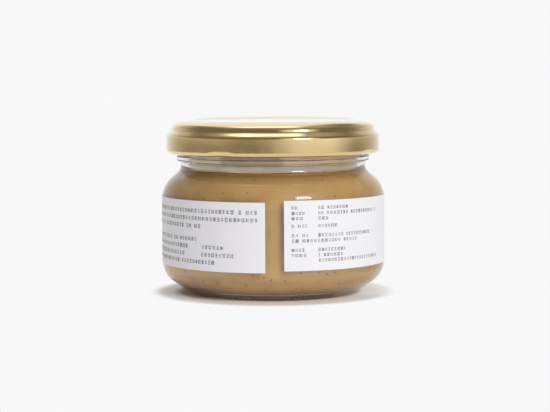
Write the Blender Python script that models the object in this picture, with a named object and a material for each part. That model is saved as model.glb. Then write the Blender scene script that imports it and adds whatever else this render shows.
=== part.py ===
"""A squat glass jar of nut spread with a gold twist-off lid and a blank wrap-around label.

Millimetres become metres through MM. The origin is the centre of the circle the jar stands on,
+Z is the jar's axis, and the gap between the ends of the label faces -Y.
A profile is a list of (radius, height) points. It starts on the axis underneath, runs out and
up the outside, and comes back to the axis on top, so its faces point outwards when it is turned.
"""
import math

import bmesh
import bpy
from mathutils import Matrix

MM = 0.001

# Flat sides round every turned piece
SIDES = 60

# Clearance kept between pieces that touch in the real jar
GAP = 0.30 * MM

# Glass, outside
BODY_RADIUS = 34.22 * MM
STANDING_RADIUS = 25.4 * MM
STANDING_WIDTH = 2.2 * MM
STANDING_ROUND = 1.0 * MM
PUSH_UP = 1.5 * MM
PUSH_UP_EDGE = 0.6 * PUSH_UP
PUSH_UP_SLOPE = 1.2 * MM
HEEL_RADIUS = 7.0 * MM
HEEL_SLOPE = 33.5
SHOULDER_START = 29.25 * MM
SHOULDER_RADIUS = 8.3 * MM
SHOULDER_SLOPE = 51.8
SHOULDER_STRAIGHT = 1.75 * MM
NECK_FILLET = 3.3 * MM
NECK_TOP = 40.2 * MM
BEAD_RADIUS = 29.82 * MM
BEAD_BOTTOM = 41.7 * MM
BEAD_TOP = 43.2 * MM
BEAD_FADE = 0.8 * MM
FINISH_RADIUS = 29.25 * MM
RIM_TOP = 52.15 * MM

# Glass, inside
WALL = 2.5 * MM
FLOOR = 4.3 * MM
FLOOR_DOME = 0.6 * MM
FLOOR_CORNER = 3.5 * MM
INNER_BEND = SHOULDER_RADIUS - 1.5 * MM
WAIST_ROUND = 1.0 * MM
MOUTH_RADIUS = 26.2 * MM

# Spread
SPREAD_LEVEL = 37.6 * MM
SPREAD_UNEVENNESS = 0.25 * MM

# Lid
LID_RADIUS = 33.08 * MM
LID_TOP = 53.5 * MM
LID_BOTTOM = 43.0 * MM
LID_SHEET = 0.25 * MM
PANEL_RADIUS = 25.4 * MM
PANEL_DEPTH = 0.45 * MM
CROWN_CREST = 26.5 * MM
CROWN_ARC = 7.6 * MM
CROWN_SLOPE = 57.0
ROLL_ARC = 1.8 * MM
STEP_SLOPE = 15.0
STEP_RADIUS = 31.52 * MM
STEP_BOTTOM = 50.7 * MM
LEDGE_SLOPE = 44.0
BROW_ARC = 1.65 * MM
SKIRT_TOP = 48.33 * MM
CURL_WIDTH = 1.95 * MM
CURL_HEIGHT = 2.1 * MM
CURL_ROUND = 1.25 * MM
LUG_COUNT = 4
LUG_ANGLE = -28.3
LUG_SPAN = 15.0
LUG_REACH = 1.0 * MM
LUG_THICKNESS = 1.2 * MM
LUG_LIFT = 0.3 * MM

# Label
LABEL_INNER_RADIUS = 34.43 * MM
LABEL_THICKNESS = 0.11 * MM
LABEL_BOTTOM = 9.55 * MM
LABEL_TOP = 30.20 * MM
LABEL_START = 5.25
LABEL_END = 356.05
LABEL_CLIMB = 0.52 * MM
LABEL_STEPS = 60


def clear_scene():
    """Remove every object that the file opened with."""
    for thing in list(bpy.data.objects):
        bpy.data.objects.remove(thing)


def make_material(name, colour, roughness, metallic=0.0, transmission=0.0):
    """A Principled material with one plain colour."""
    material = bpy.data.materials.new(name)
    material.use_nodes = True
    shader = material.node_tree.nodes["Principled BSDF"]
    shader.inputs["Base Color"].default_value = (*colour, 1.0)
    shader.inputs["Roughness"].default_value = roughness
    shader.inputs["Metallic"].default_value = metallic
    shader.inputs["Transmission Weight"].default_value = transmission
    return material


def arc(centre, radius, start, end, steps):
    """Points on a circle in the profile's plane, from one angle to another in degrees."""
    points = []
    for step in range(steps + 1):
        angle = math.radians(start + (end - start) * step / steps)
        points.append((centre[0] + radius * math.cos(angle), centre[1] + radius * math.sin(angle)))
    return points


def add_object(name, shape, material):
    """Link a bmesh as a named object with smooth shading that keeps its hard edges."""
    mesh = bpy.data.meshes.new(name)
    shape.to_mesh(mesh)
    shape.free()
    thing = bpy.data.objects.new(name, mesh)
    bpy.context.scene.collection.objects.link(thing)
    mesh.materials.append(material)
    mesh.shade_smooth()
    mesh.set_sharp_from_angle(angle=math.radians(40))
    return thing


def turn(profile):
    """Spin a profile that starts and ends on the axis into one closed body."""
    shape = bmesh.new()
    chain = [shape.verts.new((radius, 0.0, height)) for radius, height in profile]
    edges = [shape.edges.new(pair) for pair in zip(chain, chain[1:])]
    bmesh.ops.spin(
        shape,
        geom=chain + edges,
        cent=(0.0, 0.0, 0.0),
        axis=(0.0, 0.0, 1.0),
        dvec=(0.0, 0.0, 0.0),
        angle=2.0 * math.pi,
        steps=SIDES,
        use_merge=True,
        use_duplicate=False,
    )
    bmesh.ops.remove_doubles(shape, verts=shape.verts, dist=0.001 * MM)
    bmesh.ops.recalc_face_normals(shape, faces=shape.faces)
    return shape


def heel_profile():
    """The jar's foot: a small round, a straight chamfer and a large round up to the body."""
    slope = -90.0 + HEEL_SLOPE
    points = arc((STANDING_RADIUS, STANDING_ROUND), STANDING_ROUND, -90.0, slope, 2)
    large = arc((BODY_RADIUS - HEEL_RADIUS, 0.0), HEEL_RADIUS, slope, 0.0, 6)
    # The chamfer is tangent to both rounds, so it runs along its own slope between them
    run = large[0][0] - points[-1][0]
    rise = run * math.tan(math.radians(HEEL_SLOPE))
    lift = points[-1][1] + rise - large[0][1]
    return points + [(radius, height + lift) for radius, height in large]


def shoulder_profile():
    """From the body over the shoulder to the waist of the neck."""
    centre = (BODY_RADIUS - SHOULDER_RADIUS, SHOULDER_START)
    points = arc(centre, SHOULDER_RADIUS, 0.0, SHOULDER_SLOPE, 6)
    slope = math.radians(SHOULDER_SLOPE)
    start = (
        points[-1][0] - SHOULDER_STRAIGHT * math.sin(slope),
        points[-1][1] + SHOULDER_STRAIGHT * math.cos(slope),
    )
    fillet = (start[0] + NECK_FILLET * math.cos(slope), start[1] + NECK_FILLET * math.sin(slope))
    return points + arc(fillet, NECK_FILLET, 180.0 + SHOULDER_SLOPE, 180.0, 4)


def finish_profile(neck_radius):
    """The bead under the lid and the plain ring of glass that the lid covers."""
    rim_round = (FINISH_RADIUS - MOUTH_RADIUS) / 2.0
    rim = arc((MOUTH_RADIUS + rim_round, RIM_TOP - rim_round), rim_round, 0.0, 180.0, 4)
    out = 0.6 * (BEAD_RADIUS - neck_radius)
    up = 0.4 * (BEAD_BOTTOM - NECK_TOP)
    return [
        (neck_radius, NECK_TOP),
        (neck_radius + out, NECK_TOP + up),
        (BEAD_RADIUS, BEAD_BOTTOM),
        (BEAD_RADIUS, BEAD_TOP),
        (FINISH_RADIUS, BEAD_TOP + BEAD_FADE),
    ] + rim


def inside_profile(inset):
    """The hollow of the jar, from the waist of the neck down to the floor's centre.

    inset moves it inwards from the glass, which gives the spread its outside.
    """
    waist = MOUTH_RADIUS - inset
    wall = BODY_RADIUS - WALL
    slope = math.radians(SHOULDER_SLOPE)
    over = arc((wall - INNER_BEND, SHOULDER_START), INNER_BEND - inset, SHOULDER_SLOPE, 0.0, 5)
    # The straight slope over the shoulder is tangent to the round at the waist
    lip_round = WAIST_ROUND + inset
    straight = (over[0][0] - waist - lip_round * (1.0 - math.cos(slope))) / math.sin(slope)
    lip_height = over[0][1] + straight * math.cos(slope) + lip_round * math.sin(slope)
    lip = arc((waist + lip_round, lip_height), lip_round, 180.0, 180.0 + SHOULDER_SLOPE, 2)
    corner_round = FLOOR_CORNER - inset
    corner = arc((wall - FLOOR_CORNER, FLOOR + FLOOR_CORNER), corner_round, 0.0, -90.0, 4)
    foot, floor = corner[-1]
    dome = [(0.5 * foot, floor + 0.75 * FLOOR_DOME), (0.0, floor + FLOOR_DOME)]
    return lip + over + corner + dome


def build_glass(material):
    """One turned wall: outside, rim and inside, with a hollow under the base."""
    ring_inner = STANDING_RADIUS - STANDING_WIDTH
    hollow = ring_inner - PUSH_UP_SLOPE
    base = [
        (0.0, PUSH_UP),
        (0.5 * hollow, 0.75 * PUSH_UP + 0.25 * PUSH_UP_EDGE),
        (hollow, PUSH_UP_EDGE),
        (ring_inner, 0.0),
    ]
    shoulder = shoulder_profile()
    outside = base + heel_profile() + shoulder + finish_profile(shoulder[-1][0])
    add_object("glass_jar", turn(outside + inside_profile(0.0)), material)


def build_spread(material):
    """The spread fills the jar to its level, a little clear of the glass."""
    outside = list(reversed(inside_profile(GAP)))
    edge = MOUTH_RADIUS - GAP
    surface = [(edge * share, SPREAD_LEVEL) for share in (1.0, 0.8, 0.55, 0.3, 0.0)]
    shape = turn(outside + surface)
    for vertex in shape.verts:
        radius = math.hypot(vertex.co.x, vertex.co.y)
        if abs(vertex.co.z - SPREAD_LEVEL) < 0.001 * MM and 0.01 * edge < radius < 0.99 * edge:
            turned = math.atan2(vertex.co.y, vertex.co.x)
            wave = math.sin(2.0 * turned + 0.7) + 0.6 * math.sin(3.0 * turned + 6.0 * radius / edge)
            vertex.co.z += SPREAD_UNEVENNESS * wave
    add_object("peanut_butter", shape, material)


def lid_rim(sheet, steps):
    """The rim from the wall below its roll to its crest, on the outside or a sheet further in."""
    crown_centre = (CROWN_CREST, LID_TOP - CROWN_ARC)
    crown = arc(crown_centre, CROWN_ARC - sheet, CROWN_SLOPE, 90.0, steps)
    slope = math.radians(CROWN_SLOPE)
    inward = CROWN_ARC - ROLL_ARC
    roll_centre = (
        crown_centre[0] + inward * math.cos(slope),
        crown_centre[1] + inward * math.sin(slope),
    )
    return arc(roll_centre, ROLL_ARC - sheet, STEP_SLOPE, CROWN_SLOPE, 2) + crown[1:]


def lid_profile():
    """Sheet metal from the underside of the panel to its top, with a rolled bottom edge."""
    panel = LID_TOP - PANEL_DEPTH
    curl_inner = LID_RADIUS - CURL_WIDTH
    curl_top = LID_BOTTOM + CURL_HEIGHT
    brow = arc((LID_RADIUS - BROW_ARC, SKIRT_TOP), BROW_ARC, 0.0, LEDGE_SLOPE, 2)
    underside = [(0.0, panel - LID_SHEET), (PANEL_RADIUS + LID_SHEET, panel - LID_SHEET)]
    underside += reversed(lid_rim(LID_SHEET, 2))
    underside += [
        (STEP_RADIUS - LID_SHEET, STEP_BOTTOM),
        (brow[-1][0] - LID_SHEET, brow[-1][1] - LID_SHEET),
        (LID_RADIUS - LID_SHEET, SKIRT_TOP),
        (LID_RADIUS - LID_SHEET, curl_top + 0.15 * CURL_HEIGHT),
        (LID_RADIUS - 0.45 * CURL_WIDTH, curl_top),
        (curl_inner + 0.08 * CURL_WIDTH, curl_top - 0.15 * CURL_HEIGHT),
        (curl_inner, LID_BOTTOM + 0.5 * CURL_HEIGHT),
        (curl_inner + 0.08 * CURL_WIDTH, LID_BOTTOM + 0.15 * CURL_HEIGHT),
    ]
    curl = arc((LID_RADIUS - CURL_ROUND, LID_BOTTOM + CURL_ROUND), CURL_ROUND, -90.0, 0.0, 3)
    top = [(PANEL_RADIUS, panel), (0.0, panel)]
    return underside + curl + brow + [(STEP_RADIUS, STEP_BOTTOM)] + lid_rim(0.0, 3) + top


def build_lug(angle, material):
    """A short inward hook of the rolled edge, as a curved block that runs into the roll."""
    inner = LID_RADIUS - CURL_WIDTH - LUG_REACH
    outer = LID_RADIUS - 0.5 * CURL_WIDTH
    low = LID_BOTTOM + LUG_LIFT
    high = low + LUG_THICKNESS
    shape = bmesh.new()
    outline = [(inner, low), (outer, low), (outer, high), (inner, high)]
    ring = [shape.verts.new((radius, 0.0, height)) for radius, height in outline]
    start = shape.faces.new(ring)
    bmesh.ops.spin(
        shape,
        geom=[start],
        cent=(0.0, 0.0, 0.0),
        axis=(0.0, 0.0, 1.0),
        dvec=(0.0, 0.0, 0.0),
        angle=math.radians(LUG_SPAN),
        steps=4,
        use_merge=False,
        use_duplicate=False,
    )
    turned = Matrix.Rotation(math.radians(angle - 90.0 - LUG_SPAN / 2.0), 4, "Z")
    bmesh.ops.transform(shape, matrix=turned, verts=shape.verts)
    bmesh.ops.recalc_face_normals(shape, faces=shape.faces)
    return add_object("lug", shape, material)


def build_lid(material):
    """The turned cap with its lugs fused on by one union."""
    lid = add_object("lid", turn(lid_profile()), material)
    lugs = bpy.data.collections.new("lugs")
    for number in range(LUG_COUNT):
        lug = build_lug(LUG_ANGLE + 360.0 * number / LUG_COUNT, material)
        lugs.objects.link(lug)
    union = lid.modifiers.new("lugs", "BOOLEAN")
    union.operation = "UNION"
    union.solver = "EXACT"
    union.operand_type = "COLLECTION"
    union.collection = lugs
    depsgraph = bpy.context.evaluated_depsgraph_get()
    fused = bpy.data.meshes.new_from_object(lid.evaluated_get(depsgraph))
    lid.modifiers.remove(union)
    lid.data = fused
    for lug in list(lugs.objects):
        bpy.data.objects.remove(lug)
    bpy.data.collections.remove(lugs)


def build_label(material):
    """A thin strip round the body whose right-hand end sits a little higher than its left."""
    shape = bmesh.new()
    columns = []
    for step in range(LABEL_STEPS + 1):
        share = step / LABEL_STEPS
        angle = math.radians(LABEL_START + (LABEL_END - LABEL_START) * share - 90.0)
        lift = LABEL_CLIMB * (0.5 - share)
        x = LABEL_INNER_RADIUS * math.cos(angle)
        y = LABEL_INNER_RADIUS * math.sin(angle)
        low = shape.verts.new((x, y, LABEL_BOTTOM + lift))
        high = shape.verts.new((x, y, LABEL_TOP + lift))
        columns.append((low, high))
    for (low, high), (next_low, next_high) in zip(columns, columns[1:]):
        shape.faces.new((low, next_low, next_high, high))
    label = add_object("label", shape, material)
    paper = label.modifiers.new("paper", "SOLIDIFY")
    paper.thickness = LABEL_THICKNESS
    paper.offset = 1.0


clear_scene()
build_glass(make_material("clear_glass", (0.93, 0.95, 0.94), 0.03, transmission=1.0))
build_spread(make_material("nut_spread", (0.48, 0.28, 0.11), 0.45))
build_lid(make_material("gold_lacquer", (0.62, 0.48, 0.24), 0.22, metallic=1.0))
build_label(make_material("white_paper", (0.90, 0.90, 0.91), 0.6))
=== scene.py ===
"""Looks for a squat glass jar of nut spread with a gold twist-off lid and a white label.

Everything is in metres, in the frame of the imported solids: +Z is the jar's axis and -Y the front.
A profile is a list of (radius, height) points. Angles round the jar are degrees from the front,
positive towards +X.
"""
import math
import random

import bpy
from mathutils import Matrix, Vector


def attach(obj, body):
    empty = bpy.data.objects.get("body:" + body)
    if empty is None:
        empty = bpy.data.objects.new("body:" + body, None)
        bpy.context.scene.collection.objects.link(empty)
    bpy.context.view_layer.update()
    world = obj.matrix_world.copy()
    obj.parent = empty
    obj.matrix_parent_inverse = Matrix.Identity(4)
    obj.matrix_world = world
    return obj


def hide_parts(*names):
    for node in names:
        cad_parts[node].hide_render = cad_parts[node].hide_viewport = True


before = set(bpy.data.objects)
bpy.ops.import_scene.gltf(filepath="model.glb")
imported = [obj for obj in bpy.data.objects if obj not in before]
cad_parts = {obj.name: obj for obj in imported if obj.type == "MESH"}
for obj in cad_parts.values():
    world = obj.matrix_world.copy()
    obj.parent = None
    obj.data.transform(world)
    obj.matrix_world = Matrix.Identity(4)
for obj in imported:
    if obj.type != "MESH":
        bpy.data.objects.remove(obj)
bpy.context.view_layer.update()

MM = 0.001
TURN = 2.0 * math.pi
SHARP_ANGLE = math.radians(40.0)
SEED = 11

# Camera
IMAGE_WIDTH = 550.0
FOCAL_PIXELS = 1741.0
SENSOR_WIDTH = 36.0
CAMERA_DISTANCE = 539.53 * MM
CAMERA_HEIGHT = 67.82 * MM
CAMERA_PITCH = math.radians(4.394)
CAMERA_YAW = math.radians(0.061)
CAMERA_ROLL = math.radians(0.238)

# Label and its ink
LABEL_OUTER = 34.475 * MM
LABEL_THICKNESS = 0.105 * MM
LABEL_GLUE = 0.02 * MM
LABEL_BOTTOM = 9.55 * MM
LABEL_TOP = 30.20 * MM
LABEL_START = 5.25
LABEL_END = 356.05
LABEL_CLIMB = 0.52 * MM
LABEL_COLUMNS = 360
LABEL_ROWS = 12
PAPER_COLOURS = ((0.785, 0.775, 0.815), (0.805, 0.795, 0.830))
FIBRE_COLOUR = (0.73, 0.72, 0.75)
INK_COLOURS = ((0.17, 0.17, 0.19), (0.32, 0.32, 0.345))
INK_THICKNESS = 0.010 * MM
INK_SUNK = 0.02 * MM
BLOCK_COLUMN = 1.5

# Glass, outside
GLASS_COLOUR = (0.985, 0.992, 0.985)
GLASS_IOR = 1.52
BODY_RADIUS = LABEL_OUTER - LABEL_THICKNESS - LABEL_GLUE
STANDING_RADIUS = 25.4 * MM
STANDING_WIDTH = 2.2 * MM
FOOT_ROUND = 1.0 * MM
PUSH_UP = 1.5 * MM
PUSH_UP_EDGE = 0.9 * MM
PUSH_UP_BEND = 0.9 * MM
RING_SLOPE = 1.2 * MM
RING_ROUND = 0.4 * MM
RING_MARGIN = 0.3 * MM
KNURLS = 96
KNURL_PITCH = 0.11 * MM
KNURL_DEPTH = 0.52 * MM
KNURL_SPACING = 0.14 * MM
KNURL_RINGS = 16
KNURL_BOTTOM = 0.35 * MM
KNURL_TOP = 1.8 * MM
KNURL_FADE_LOW = 0.25 * MM
KNURL_FADE_HIGH = 0.4 * MM
GLASS_SEGMENTS = 4 * KNURLS
HEEL_TOP = 3.0 * MM
HEEL_RADIUS = 7.0 * MM
HEEL_SLOPE = 33.5
SEAM_RADIUS = 28.9 * MM
SEAM_HEIGHT = 0.28 * MM
SEAM_WIDTH = 0.56 * MM
# The mould's marks cover the front and the back: middle, full half width, faded half width
MARKS_MIDDLE = 2.0
MARKS_FULL = 32.0
MARKS_FADED = 44.0
# The knurls leave a plain stretch at the front: its middle, half width, and where it has ended
PLAIN_MIDDLE = -1.0
PLAIN_WIDTH = 9.0
PLAIN_END = 12.0
SHOULDER_START = 29.25 * MM
SHOULDER_RADIUS = 8.3 * MM
SHOULDER_SLOPE = 51.8
SHOULDER_STRAIGHT = 1.75 * MM
NECK_FILLET = 3.3 * MM
NECK_TOP = 40.2 * MM
BEAD_RADIUS = 29.85 * MM
BEAD_BOTTOM = 41.0 * MM
BEAD_TOP = 43.4 * MM
BEAD_HOLLOW = 0.55 * MM
BEAD_BULGE = 0.45 * MM
BEAD_CORNER = 0.2 * MM
BEAD_SLOPE = 30.0
BEAD_FADE = 0.3 * MM
GROOVE_HEIGHT = 42.35 * MM
GROOVE_DEPTH = 0.26 * MM
GROOVE_WIDTH = 0.5 * MM
FINISH_RADIUS = 29.25 * MM
RIM_TOP = 52.15 * MM

# Glass, inside
WALL = 2.5 * MM
FLOOR = 4.3 * MM
FLOOR_DOME = 0.6 * MM
FLOOR_CORNER = 3.5 * MM
MOUTH_RADIUS = 26.2 * MM
WAIST_ROUND = 1.0 * MM
BEND_LESS = 1.5 * MM

# Spread
SPREAD_LEVEL = 37.6 * MM
SPREAD_INTO_WALL = 0.15 * MM
SPREAD_SEGMENTS = 300
SPREAD_EDGE = 0.7 * MM
SPREAD_RINGS = 40
SPREAD_CREEP = 0.12 * MM
SPREAD_WAVES = 0.14 * MM
SPREAD_COLOURS = ((0.440, 0.255, 0.084), (0.495, 0.298, 0.103))
# Painted shade on the spread: darker in a band, a patch on the left of the foot, and the top under
# the lid
PAINTED_SHADE_COLOUR = (0.26, 0.126, 0.036)
BAND_LOW = 5.9 * MM
BAND_HIGH = 7.0 * MM
BAND_SOFT = 1.0 * MM
BAND_SHARE = 0.5
BAND_STREAKS = 0.12
PATCH_SIDES = (-26.0 * MM, -6.0 * MM)
PATCH_HEIGHTS = (4.6 * MM, 7.4 * MM)
PATCH_SHARE = 0.95
TOP_DEPTH = 3.4 * MM
TOP_SHARE = 0.8
# The top turns oilier over these depths, and smoother by this much
OILY_DEPTHS = (0.6 * MM, 0.3 * MM)
OILY_SMOOTHER = 0.22
# A paler band of painted light under the label, which is faint in its middle
PAINTED_LIGHT_COLOUR = (0.82, 0.60, 0.36)
PALE_LOW = 8.2 * MM
PALE_HIGH = 10.4 * MM
PALE_SOFT = 0.6 * MM
PALE_TILT = 0.03
PALE_MIDDLE = -2.0 * MM
PALE_SIDES = (3.0 * MM, 16.0 * MM)
PALE_SHARES = (0.06, 0.42)
# Specks: how many in a metre, their size in cells, and where more of them are picked
SPECK_COLOUR = (0.17, 0.065, 0.02)
SPECK_SCALE = 560.0
SPECK_SIZE = (0.11, 0.21)
SPECK_HEIGHTS = (10.0 * MM, 13.0 * MM)
SPECK_PICKED = (0.60, 1.05)
SPECK_MORE = 0.5
SPECK_SHARE = 0.95

# Film of spread on the inside of the neck; its pale and tan colours carry painted light, lighter on
# the left, and its dark lines are painted shade
FILM_CHANGE = 40.15 * MM
FILM_CHANGE_SOFT = 0.2 * MM
FILM_TOP = 43.8 * MM
FILM_START = SPREAD_LEVEL - 0.25 * MM
FILM_THICKNESS = 0.06 * MM
FILM_GAP = 0.01 * MM
FILM_SEGMENTS = 360
FILM_OPACITY = 0.5
FILM_OPACITY_VARIES = 0.10
FILM_PALE = ((0.50, 0.38, 0.25), (0.62, 0.50, 0.37))
FILM_PALE_LEFT = (0.98, 0.84, 0.64)
FILM_LEFT_SIDES = (-20.0 * MM, 8.0 * MM)
FILM_LEFT_SHARE = 0.75
TAN_COLOURS = ((0.86, 0.58, 0.30), (0.98, 0.70, 0.40))
TAN_LEFT = (1.0, 0.87, 0.68)
TAN_DENSER = 0.36
BROWN_COLOURS = ((0.48, 0.29, 0.135), (0.60, 0.39, 0.195))
BROWN_DENSER = 0.03
BROWN_LEFT = -14.8 * MM
BROWN_RIGHT = 2.8 * MM
BROWN_SOFT = 1.2 * MM
BROWN_WANDER = 5.0 * MM
SHADE_LINE_COLOUR = (0.08, 0.045, 0.02)
# Height and half width of each thin dark line of painted shade
SHADE_LINES = ((40.20 * MM, 0.20 * MM), (41.75 * MM, 0.14 * MM))
SHADE_LINE_SOFT = 0.07 * MM
# A paler stretch of painted light between the lines
BETWEEN_COLOUR = (0.80, 0.58, 0.40)
BETWEEN_SOFT = 0.2 * MM
BETWEEN_SHARE = 0.35

# Lid
LID_RADIUS = 33.08 * MM
LID_TOP = 53.36 * MM
LID_BOTTOM = 43.0 * MM
LID_SHEET = 0.25 * MM
CROWN_CREST = 26.5 * MM
CROWN_ARC = 7.6 * MM
CROWN_SLOPE = 57.0
ROLL_ARC = 1.8 * MM
STEP_SLOPE = 15.0
STEP_FILLET = 1.2 * MM
LEDGE_SLOPE = 44.0
BROW_ARC = 1.65 * MM
SKIRT_TOP = 48.19 * MM
LIP_ARC = 2.8 * MM
LIP_SLOPE = 120.0
PANEL_FILLET = 0.35 * MM
CURL_ROUND = 1.25 * MM
CURL_WIDTH = 1.95 * MM
CURL_HEIGHT = 2.1 * MM
BARREL_START = 44.9 * MM
BARREL_DEPTH = 0.10 * MM
BARREL_SLOPE = 3.5
LID_SEGMENTS = 480
PANEL_RINGS = 12
BARREL_RINGS = 8
GOLD_COLOURS = ((0.722, 0.541, 0.258), (0.752, 0.566, 0.276))
PANEL_COLOUR = (0.760, 0.630, 0.430)
# Depths over which the lid's top turns to the panel's colour
PANEL_DEPTHS = (1.5 * MM, 0.6 * MM)
LINER_COLOURS = ((0.62, 0.58, 0.50), (0.68, 0.64, 0.56))
# Inside of the lid: in from its radius and up from the skirt's top, and the curl's inner rounds
UNDER_STEP = (1.81 * MM, 2.37 * MM)
UNDER_LEDGE = (0.45 * MM, 0.87 * MM)
CURL_TUCK = 0.3 * MM
CURL_CREST = 0.45 * CURL_WIDTH
CURL_UPPER_ROUND = 0.7 * MM
CURL_LOWER_ROUND = 0.9 * MM
LUG_COUNT = 4
LUG_ANGLE = -28.3
LUG_FULL = 1.5
LUG_FADED = 8.5
LUG_LIFT = 0.12 * MM
LUG_DENT_OUTSIDE = 0.16 * MM
LUG_DENT_INSIDE = 1.2 * MM
# Heights over the lid's edge, and depths in from its radius, between which a lug fades out
LUG_HEIGHTS = (0.6 * MM, 1.5 * MM)
LUG_DEPTHS = (1.9 * MM, 0.6 * MM)
# How much lower the lid's rim sits at the front
LID_DIP = 0.14 * MM

# Soft light
KEY_AROUND = 25.0
KEY_ELEVATION = 45.0
KEY_DISTANCE = 900.0 * MM
KEY_SIZE = 600.0 * MM
KEY_POWER = 2.8

# Floor, with a soft shade round the jar and a dark contact
FLOOR_COLOUR = (0.74, 0.66, 0.635)
FLOOR_RADIUS = 500.0 * MM
FLOOR_SIDES = 128
FLOOR_DROP = 0.02 * MM
SHADE_EDGE = (34.0 * MM, 38.8 * MM)
SHADE_SHARE = 0.24
# The shade is weaker by this share on the right, away from the front
SHADE_WEAKER = 0.25
SHADE_RIGHT = (12.0 * MM, 28.0 * MM)
SHADE_BACK = (-20.0 * MM, -4.0 * MM)
CONTACT_EDGE = (25.0 * MM, 28.5 * MM)
CONTACT_SHARE = 0.02
CONTACT_WIDER = 3.0 * MM
CONTACT_LEFT = (-24.0 * MM, -10.0 * MM)

# Surroundings, in degrees round from the front and up, and their brightness. Two places are
# where a change starts and ends. Four are where a patch starts, is full, starts to go and is gone.
# What is named ACROSS or SHIFT is the sideways share of a direction.
BACKDROP = 0.94
ROOM_HEIGHTS = (4.0, 20.0)
ROOM_LIGHT = (0.30, 0.21)
DIM_AROUND = (-48.0, -36.0, -22.0, -8.0)
DIM_HEIGHTS = (8.0, 24.0)
DIM_LIGHT = 0.06
BELT_SIDES = (40.0, 66.0)
BELT_HEIGHTS = (-3.0, 5.0, 10.0, 20.0)
BELT_LIGHT = (0.15, 0.27)
GLOW_AROUND = (-16.0, 34.0, 56.0, 104.0)
GLOW_HEIGHTS = (10.0, 24.0)
GLOW_LIGHT = 0.60
CEILING_HEIGHTS = (38.0, 66.0)
CEILING_LIGHT = 0.30
WALL_SIDES = (92.0, 174.0)
WALL_HEIGHTS = (26.0, 41.0)
WALL_DIP = 4.0
WALL_DIP_ACROSS = (0.08, 0.35)
WALL_RISE = 9.0
WALL_RISE_SIDES = (136.0, 150.0)
WALL_LIGHT = 0.95
STRIP_START = (78.0, 88.0)
STRIP_ACROSS = (0.24, 0.40)
STRIP_SHIFT = (0.03, 0.09)
STRIP_SHIFT_OVER = (86.0, 98.0)
STRIP_LIGHT = (2.5, 1.1)
STRIP_LIGHT_OVER = (94.0, 114.0)
STRIP_LOSS = 0.15
# A lamp and its halo: brightness, places around, heights
LAMP = (13.0, (22.0, 27.0, 38.0, 43.0), (15.0, 19.0, 24.5, 30.5))
HALO = (0.8, (4.0, 18.0, 42.0, 60.0), (10.0, 18.0, 30.0, 42.0))
# Dim stretches of the room are warmer
WARM = (1.0, 0.93, 0.83)
WHITE = (1.0, 1.0, 1.0)
WARM_UNTIL = (0.25, 0.85)


def move(point, distance, angle):
    """The point at a distance from another one, in a direction in degrees."""
    turned = math.radians(angle)
    return (point[0] + distance * math.cos(turned), point[1] + distance * math.sin(turned))


def arc(centre, radius, start, end, step=4.0):
    """Points on a circle in the profile's plane, from one angle to another in degrees."""
    count = max(2, math.ceil(abs(end - start) / step))
    angles = [start + (end - start) * number / count for number in range(count + 1)]
    return [move(centre, radius, angle) for angle in angles]


def refine(profile, end=0.15 * MM, long=2.5 * MM):
    """Add points near the ends of long straight runs, so that shading doesn't bend along them."""
    points = [profile[0]]
    for start, stop in zip(profile, profile[1:]):
        run = Vector(stop) - Vector(start)
        shares = []
        if run.length > 4.0 * end:
            pieces = max(1, round(run.length / long))
            shares = [number / pieces for number in range(1, pieces)]
            shares += [end / run.length, 1.0 - end / run.length]
        points += [tuple(Vector(start) + run * share) for share in sorted(shares)]
        points.append(stop)
    return points


def ease(value, low, high):
    """0 below low, 1 above high, and a smooth step between them."""
    share = min(1.0, max(0.0, (value - low) / (high - low)))
    return share * share * (3.0 - 2.0 * share)


def from_front(angle):
    """Degrees from the front, from -180 to 180, of an angle measured from +X in radians."""
    return (math.degrees(angle) + 90.0 + 180.0) % 360.0 - 180.0


def add_piece(name, verts, faces, materials):
    """A smooth-shaded mesh object."""
    mesh = bpy.data.meshes.new(name)
    mesh.from_pydata(verts, [], faces)
    mesh.update()
    mesh.shade_smooth()
    piece = bpy.data.objects.new(name, mesh)
    bpy.context.scene.collection.objects.link(piece)
    for material in materials:
        mesh.materials.append(material)
    return piece


def turn(name, profile, segments, materials, relief=None):
    """Turn a profile into a closed body. relief(radius, height, front angle) may shift a point.

    The profile either starts and ends on the axis, or ends where it starts and makes a ring.
    """
    verts = []
    rings = []
    for radius, height in profile:
        if rings and (radius, height) == profile[0]:
            rings.append(rings[0])
            continue
        first = len(verts)
        if radius < 0.001 * MM:
            verts.append((0.0, 0.0, height))
            rings.append([first] * segments)
            continue
        for number in range(segments):
            angle = TURN * number / segments
            out, up = radius, height
            if relief:
                out, up = relief(radius, height, from_front(angle))
            verts.append((out * math.cos(angle), out * math.sin(angle), up))
        rings.append(list(range(first, first + segments)))
    faces = []
    for low, high in zip(rings, rings[1:]):
        for number in range(segments):
            after = (number + 1) % segments
            corners = (low[number], low[after], high[after], high[number])
            faces.append(tuple(dict.fromkeys(corners)))
    return add_piece(name, verts, faces, materials)


# Material nodes


def new_material(name):
    """An empty material with its Principled shader, and the node tree."""
    material = bpy.data.materials.new(name)
    material.use_nodes = True
    return material, material.node_tree, material.node_tree.nodes["Principled BSDF"]


def feed(tree, node, inputs):
    """Set inputs of a node, by name or place, to numbers, colours or other nodes' outputs."""
    for name, value in inputs.items():
        socket = node.inputs[name]
        if isinstance(value, float):
            socket.default_value = value
        elif isinstance(value, tuple):
            socket.default_value = (*value, 1.0)
        else:
            tree.links.new(value, socket)


def calc(tree, operation, *values):
    """A Math node; each value is a number or another node's output."""
    node = tree.nodes.new("ShaderNodeMath")
    node.operation = operation
    feed(tree, node, dict(enumerate(values)))
    return node.outputs[0]


def smooth_step(tree, value, low, high, start=0.0, end=1.0):
    """A smooth change from start to end as value goes from low to high."""
    node = tree.nodes.new("ShaderNodeMapRange")
    node.interpolation_type = "SMOOTHSTEP"
    limits = {"From Min": low, "From Max": high, "To Min": start, "To Max": end}
    feed(tree, node, {"Value": value, **limits})
    return node.outputs["Result"]


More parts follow.
